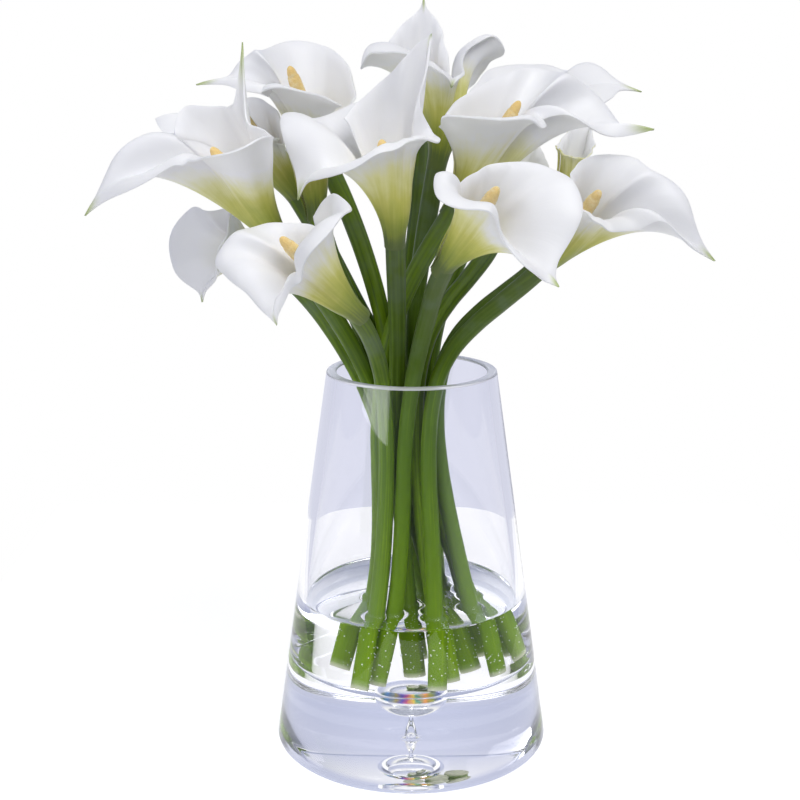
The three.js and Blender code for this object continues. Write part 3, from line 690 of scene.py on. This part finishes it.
def make_stem(name, finishes, tone):
    rings = stem_course("stem_" + name)
    course = smooth_course(rings)
    top = course[-1][0].z
    foot = course[0][0].z

    def mark(u, v):
        z = course[min(max(round(v * (len(course) + 1)) - 1, 0), len(course) - 1)][0].z
        return (1.0 - smoothstep(*STEM["cut"], z - foot), (z - foot) / (top - foot), tone)

    def ridged(turn, share):
        ridge = math.sin(STEM["ridges"] * turn + STEM["turn_by_tone"] * tone)
        return 1 + STEM["ridge_depth"] * (ridge - 1)

    form = tube_form(course, STEM["sides"], mark, ridged)
    for face in form.faces:
        face.material_index = int(face.calc_center_median().z < WATER["level"] * MM)
    new_piece("green_stem_" + name, form, finishes, ["stem_" + name])
    return course


# ---- blooms ----

def lily_axis(lean):
    side, front = (math.radians(angle) for angle in lean)
    return Vector((math.sin(side) * math.cos(front), -math.sin(front), math.cos(side) * math.cos(front)))


def rim_at(rim, azimuth):
    """Distance, height and turn-out of the rim at an azimuth, smooth through its stations."""
    last = len(rim) - 1
    k = min(max(sum(station[0] <= azimuth for station in rim) - 1, 0), last - 1)

    def slope(i):
        before, after = rim[max(i - 1, 0)], rim[min(i + 1, last)]
        return (after - before) / (after[0] - before[0])

    span = rim[k + 1][0] - rim[k][0]
    u = (azimuth - rim[k][0]) / span
    station = ((2 * u**3 - 3 * u**2 + 1) * rim[k] + (u**3 - 2 * u**2 + u) * span * slope(k)
               + (3 * u**2 - 2 * u**3) * rim[k + 1] + (u**3 - u**2) * span * slope(k + 1))
    return station[1:]


def heading(angle):
    """A direction in a funnel's profile, as (distance, height), at an angle from the axis."""
    return np.array([math.sin(math.radians(angle)), math.cos(math.radians(angle))])


def bezier(a, b, c, d, t):
    return (1 - t)**3 * a + 3 * (1 - t)**2 * t * b + 3 * (1 - t) * t * t * c + t**3 * d


def funnel_profile(lily, azimuth, phase):
    """A function of the share from the foot to the rim, giving (distance, height) in the profile."""
    rim = lily["rim"]
    distance, height, turn_out = rim_at(rim, azimuth)
    lapped = lily["lap"] * (azimuth - (rim[0][0] + rim[-1][0]) / 2) / 360
    foot = np.array([SPATHE["foot"] + lapped, SPATHE["foot_height"]])
    edge = np.array([distance + SPATHE["rim_lap"] * lapped, height])
    chord = np.linalg.norm(edge - foot)
    low = foot + heading(SPATHE["opening"]) * SPATHE["foot_pull"] * chord
    high = edge - heading(turn_out) * SPATHE["rim_pull"] * chord
    sleeve = np.array([SLEEVE["radius"] + SLEEVE["lap"] * lapped, -SLEEVE["depth"]])
    outside = heading(turn_out + 90)
    swell = math.sin(math.radians(azimuth) * WAVE["swells"] + phase)
    ripple = math.sin(math.radians(azimuth) * WAVE["ripples"] + WAVE["ripple_shift"] * phase)
    wave = WAVE["height"] * (swell + WAVE["ripple_share"] * ripple)

    def at(share):
        if share < SLEEVE["share"]:
            t = share / SLEEVE["share"]
            reach = SLEEVE["depth"] / 3
            return bezier(sleeve, sleeve + heading(0) * reach, foot - heading(SPATHE["opening"]) * reach,
                          foot, t)
        t = (share - SLEEVE["share"]) / (1 - SLEEVE["share"])
        point = bezier(foot, low, high, edge, t)
        for middle, length, angle, width in lily["tails"]:
            drawn = math.exp(-abs(azimuth - middle) / width) * t ** SPATHE["tail_rise"]
            point = point + heading(angle) * length * drawn
        rolled = ROLL["depth"] * max(0.0, (t - ROLL["start"]) / (1 - ROLL["start"]))**2
        waved = wave * smoothstep(WAVE["start"], 1, t)
        return point + outside * (rolled + waved)

    return at


def column_azimuths(lily):
    """Even columns round the funnel, drawn closer together where a tail is."""
    rim = lily["rim"]
    fine = np.linspace(rim[0][0], rim[-1][0], TAIL_COLUMNS["samples"])
    density = np.ones_like(fine)
    for middle, _, _, width in lily["tails"]:
        near = np.exp(-np.abs(fine - middle) / (TAIL_COLUMNS["spread"] * width))
        density += TAIL_COLUMNS["crowding"] * near
    total = np.concatenate([[0], np.cumsum(density[1:])])
    shares = np.linspace(0, 1, SPATHE["columns"] + 1)
    return np.interp(shares, total / total[-1], fine)


def make_spathe(name, lily, finishes, tone):
    axis = lily_axis(lily["lean"])
    right, behind = across_axis(axis)
    base = Vector(lily["base"])
    azimuths = column_azimuths(lily)
    profiles = [funnel_profile(lily, azimuth, WAVE["turn_by_tone"] * tone) for azimuth in azimuths]

    def column(u):
        return round(u * SPATHE["columns"])

    def place(u, v):
        distance, height = profiles[column(u)](v)
        turn = math.radians(azimuths[column(u)])
        return (base + axis * height + right * (distance * math.cos(turn))
                + behind * (distance * math.sin(turn)))

    def mark(u, v):
        azimuth = azimuths[column(u)]
        tip = max(math.exp(-abs(azimuth - middle) / width) * min(1, length / BLUSH["tip_length"])
                  for middle, length, _, width in lily["tails"])
        _, height = profiles[column(u)](v)
        climb = (height + SLEEVE["depth"]) / BLUSH["full_height"]
        along = (BLUSH["by_height"] * climb + BLUSH["by_share"] * v) * (1 - lily.get("young", 0))
        return (tip * smoothstep(BLUSH["tip"], 1.0, v), max(0.0, along), tone)

    form = sheet_of(SPATHE["columns"], SPATHE["rows"], place, mark)
    spathe = new_piece("white_spathe_" + name, form, finishes, ["spathe_" + name])
    wall = spathe.modifiers.new("wall", "SOLIDIFY")
    wall.thickness = SPATHE["thickness"] * MM
    wall.offset = 0
    wall.material_offset = 1
    wall.material_offset_rim = 0
    ease_edges(spathe, EDGE["petal_width"], EDGE["petal_angle"])


def spadix_radius(share):
    """The radius at a share of the length, with a rounded tip."""
    shares, radii = zip(*SPADIX["outline"])
    start = SPADIX["round_from"]
    if share <= start:
        return float(np.interp(share, shares, radii))
    rounding = math.sqrt(max(0.0, 1 - ((share - start) / (1 - start))**2))
    return max(SPADIX["smallest"], radii[-1] * rounding)


def make_spadix(name, lily, finish, tone):
    length, side = lily["spadix"]
    axis = lily_axis(lily["lean"])
    root = Vector(lily["base"]) + axis * SPADIX["root"]
    along = lily_axis((lily["lean"][0] + side, lily["lean"][1]))
    tip = Vector(lily["base"]) + axis * SPADIX["tip"] + along * (length - SPADIX["tip"])
    course = []
    for row in range(SPADIX["rows"] + 1):
        share = 1 - (1 - row / SPADIX["rows"])**SPADIX["crowding"]
        course.append((root.lerp(tip, share), spadix_radius(share)))

    def grain(turn, share):
        rows = length / SPADIX["grain_length"]
        knobs = math.cos(SPADIX["grains_round"] * turn) * math.cos(math.pi * rows * share)
        return 1 + SPADIX["grain_share"] * knobs

    form = tube_form(course, SPADIX["sides"], lambda u, v: (0, v, tone), grain)
    new_piece("spadix_" + name + "_grain", form, [finish], ["spadix_" + name])


# ---- water ----

def stem_at(course, z):
    """Where a stem's middle crosses a level, and its radius there."""
    for (low, radius), (high, _) in zip(course, course[1:]):
        if low.z <= z <= high.z:
            return low.lerp(high, (z - low.z) / (high.z - low.z)), radius
    return course[0]


def water_level(x, y, crossings):
    """The water's surface, drawn up at the glass and at each stem."""
    edge = inner_radius(WATER["level"]) - math.hypot(x, y)
    rise = WATER["wall_rise"] * math.exp(-max(0.0, edge) / WATER["wall_reach"])
    for centre, radius in crossings:
        gap = max(0.0, math.hypot(x - centre.x, y - centre.y) - radius)
        rise = max(rise, WATER["stem_rise"] * math.exp(-(gap / WATER["stem_reach"])**2))
    return WATER["level"] + rise


def make_water(courses):
    crossings = [stem_at(course, WATER["level"]) for course in courses]
    floor, corner, into = VASE["floor"], VASE["floor_corner"], WATER["into_glass"]
    side = [(0, floor - into),
            *arc(inner_radius(floor + corner) - corner, floor + corner, corner + into, -90, 0,
                 ARC_STEPS["corner"])]
    top = inner_radius(WATER["level"] + WATER["wall_rise"]) + into
    outline = [*side, *[(top * (1 - i / WATER["rings"]), WATER["level"]) for i in range(WATER["rings"] + 1)]]
    form = spin_form(outline, WATER["sides"])
    for face in form.faces:
        face.material_index = int(face.calc_center_median().z < (WATER["level"] - MARGIN) * MM)
    for vertex in form.verts:
        if vertex.co.z > (WATER["level"] - MARGIN) * MM:
            vertex.co.z = water_level(vertex.co.x / MM, vertex.co.y / MM, crossings) * MM
    surface = clear_finish("clear_water", FILL_IOR, FILL_TINT, FILL_SHADOW)
    against_glass = clear_finish("clear_water_against_glass", NO_BEND_IOR)
    new_piece("vase_water", form, [surface, against_glass], ["water"])


def make_air_bubbles(courses):
    """Small bubbles of air that cling to the wet part of the stems."""
    draw = random.Random(SEED)
    form = bmesh.new()
    for course in courses:
        for _ in range(AIR["count"]):
            z = draw.uniform(VASE["floor"] + AIR["above_floor"], WATER["level"] - AIR["under_surface"])
            centre, radius = stem_at(course, z)
            turn = draw.uniform(0, 2 * math.pi)
            size = draw.uniform(AIR["smallest"], AIR["largest"])
            out = Vector((math.cos(turn), math.sin(turn), 0)) * (radius + AIR["stand_off"] * size)
            bmesh.ops.create_icosphere(form, subdivisions=1, radius=size * MM,
                                       matrix=Matrix.Translation((centre + out) * MM))
    air = Finish("air_bubble")
    glint = air.noise(air.position(), AIR["glints"], 1.0)
    shader = air.add("BsdfPrincipled", {}, {"Base Color": air.ramp(glint, *AIR_GLINT), "Roughness": 0.2})
    new_piece("air_bubbles", form, [air.finish(shader)], [])


# ---- the whole ----

def make_lilies():
    tones = random.Random(SEED)
    petals = [spathe_finish("white_spathe_outside", True), spathe_finish("white_spathe_inside", False)]
    greens = [stem_finish("green_stem", SKIN_IOR), stem_finish("green_stem_wet", NO_BEND_IOR)]
    pollen = spadix_finish()
    courses = []
    for name, lily in LILIES.items():
        tone = tones.random()
        lily["rim"] = np.array(lily["rim"], float)
        courses.append(make_stem(name, greens, tone))
        make_spathe(name, lily, petals, tone)
        make_spadix(name, lily, pollen, tone)
    return courses


# ---- floor, lights and camera ----

# shade: metres from the axis over which the painted shadow under the vase fades out; glow and colour run
# from inside that painted shadow to the open floor
FLOOR = dict(half_width=0.34, front=-0.84, back=0.48, drop=0.0005, shade=(0.05, 0.086),
             glow=[(0.0, (0.16, 0.18, 0.23)), (1.0, (0.8, 0.8, 0.8))],
             colour=[(0.0, (0.25, 0.25, 0.27)), (1.0, (0.4, 0.4, 0.41))], soft_light=0.55)
STUDIO = dict(
    upward=[(0.0, (0.74, 0.755, 0.87)), (0.42, (0.74, 0.755, 0.87)), (0.54, (0.56, 0.60, 0.79)),
            (0.66, (0.56, 0.60, 0.78)), (0.80, (0.62, 0.65, 0.82)), (0.93, (1.0, 1.0, 1.0))],
    side_edges=(0.72, 0.95), side_bottom=(-0.04, 0.06), side_top=(0.3, 0.6),
    side_colour=(0.16, 0.175, 0.24), soft_edges=(0.06, 0.5), soft_share=0.12,
    front_edges=(0.62, 0.96), front_share=0.97, front_colour=(0.08, 0.085, 0.12), soft_light=0.38)
LIGHT_PATH = dict(all=32, mirrored=24, through=24)
LAMPS = {
    "key": dict(place=(0.55, -0.85, 1.45), target=(0, 0, 0.33), size=1.1, power=15, colour=(1, 1, 1)),
    "fill": dict(place=(-1.0, -0.9, 0.65), target=(0, 0, 0.3), size=0.9, power=6.5,
                 colour=(0.96, 0.97, 1))}
CAMERA = dict(place=(-0.0072, -0.848, 0.426), pitch=13.607, lens=63.9, sensor=36)


def make_floor():
    """A pale floor, straight at the back, with a painted shadow under the vase: its colour and glow are
    darker where the vase stands on it.
    """
    form = bmesh.new()
    bmesh.ops.create_grid(form, x_segments=2, y_segments=2, size=1)
    for vertex in form.verts:
        depth = (vertex.co.y + 1) / 2
        vertex.co.x *= FLOOR["half_width"]
        vertex.co.y = FLOOR["front"] + (FLOOR["back"] - FLOOR["front"]) * depth
    mesh = bpy.data.meshes.new("pale_floor")
    form.to_mesh(mesh)
    form.free()
    floor = bpy.data.objects.new("pale_floor", mesh)
    bpy.context.scene.collection.objects.link(floor)
    floor.location = (0, 0, -FLOOR["drop"])
    paint = Finish("pale_floor")
    distance = paint.add("VectorMath", dict(operation="LENGTH"), {0: paint.position()}, output=1)
    # painted shadow: clear is 0 under the vase and 1 where the floor is out of the painted shadow
    clear = paint.clamp(distance, *FLOOR["shade"])
    spread = paint.outputs("LightPath")["Is Diffuse Ray"]
    shader = paint.add("BsdfPrincipled", {}, {
        "Base Color": paint.ramp(clear, *FLOOR["colour"]), "Roughness": 0.7, "Specular IOR Level": 0.1,
        "Emission Color": paint.ramp(clear, *FLOOR["glow"]),
        "Emission Strength": 1 - spread * (1 - FLOOR["soft_light"])})
    mesh.materials.append(paint.finish(shader))


def make_lamp(name, place, target, size, power, colour):
    light = bpy.data.lights.new(name, "AREA")
    light.shape = "SQUARE"
    light.size = size
    light.energy = power
    light.color = colour
    lamp = bpy.data.objects.new(name, light)
    bpy.context.scene.collection.objects.link(lamp)
    lamp.location = place
    lamp.rotation_euler = (Vector(target) - Vector(place)).to_track_quat("-Z", "Y").to_euler()


def make_world():
    """White to the camera, a lavender-grey studio to glass and gloss, and soft light to the rest."""
    world = bpy.data.worlds.new("studio")
    bpy.context.scene.world = world
    sky = Finish("studio", world)
    x, y, z = sky.outputs("SeparateXYZ", {0: sky.add("TexCoord", output=0)}).values()
    upward = sky.ramp(z * 0.5 + 0.5, *STUDIO["upward"])
    sides = sky.clamp(abs(x), *STUDIO["side_edges"])
    band = sky.clamp(z, *STUDIO["side_bottom"]) * (1 - sky.clamp(z, *STUDIO["side_top"]))
    softer = sky.clamp(abs(x), *STUDIO["soft_edges"])
    toned = sky.mix(softer * STUDIO["soft_share"], upward, opaque(STUDIO["side_colour"]))
    sided = sky.mix(sides * band, toned, opaque(STUDIO["side_colour"]))
    front = sky.clamp(y * -1, *STUDIO["front_edges"]) * (1 - sky.clamp(z, *STUDIO["side_top"]))
    studio = sky.mix(front * STUDIO["front_share"], sided, opaque(STUDIO["front_colour"]))
    path = sky.outputs("LightPath")
    colour = sky.mix(path["Is Camera Ray"], studio, opaque(NO_TINT))
    strength = 1 - path["Is Diffuse Ray"] * (1 - STUDIO["soft_light"])
    light = sky.add("Background", {}, {"Color": colour, "Strength": strength})
    sky.add("OutputWorld", {}, {"Surface": light})


def make_camera():
    camera = bpy.data.cameras.new("camera")
    camera.lens = CAMERA["lens"]
    camera.sensor_width = CAMERA["sensor"]
    holder = bpy.data.objects.new("camera", camera)
    bpy.context.scene.collection.objects.link(holder)
    holder.location = CAMERA["place"]
    holder.rotation_euler = (math.radians(90 - CAMERA["pitch"]), 0, 0)
    bpy.context.scene.camera = holder


def allow_long_light_paths():
    """Light that is trapped in the thick base for a while still finds its way out."""
    limits = bpy.context.scene.cycles
    limits.max_bounces = LIGHT_PATH["all"]
    limits.glossy_bounces = LIGHT_PATH["mirrored"]
    limits.transmission_bounces = LIGHT_PATH["through"]


make_camera()
make_world()
make_floor()
for lamp_name, lamp_settings in LAMPS.items():
    make_lamp(lamp_name, **lamp_settings)
bpy.context.scene.view_settings.view_transform = "Standard"
allow_long_light_paths()

make_vase()
stem_courses = make_lilies()
make_water(stem_courses)
make_air_bubbles(stem_courses)
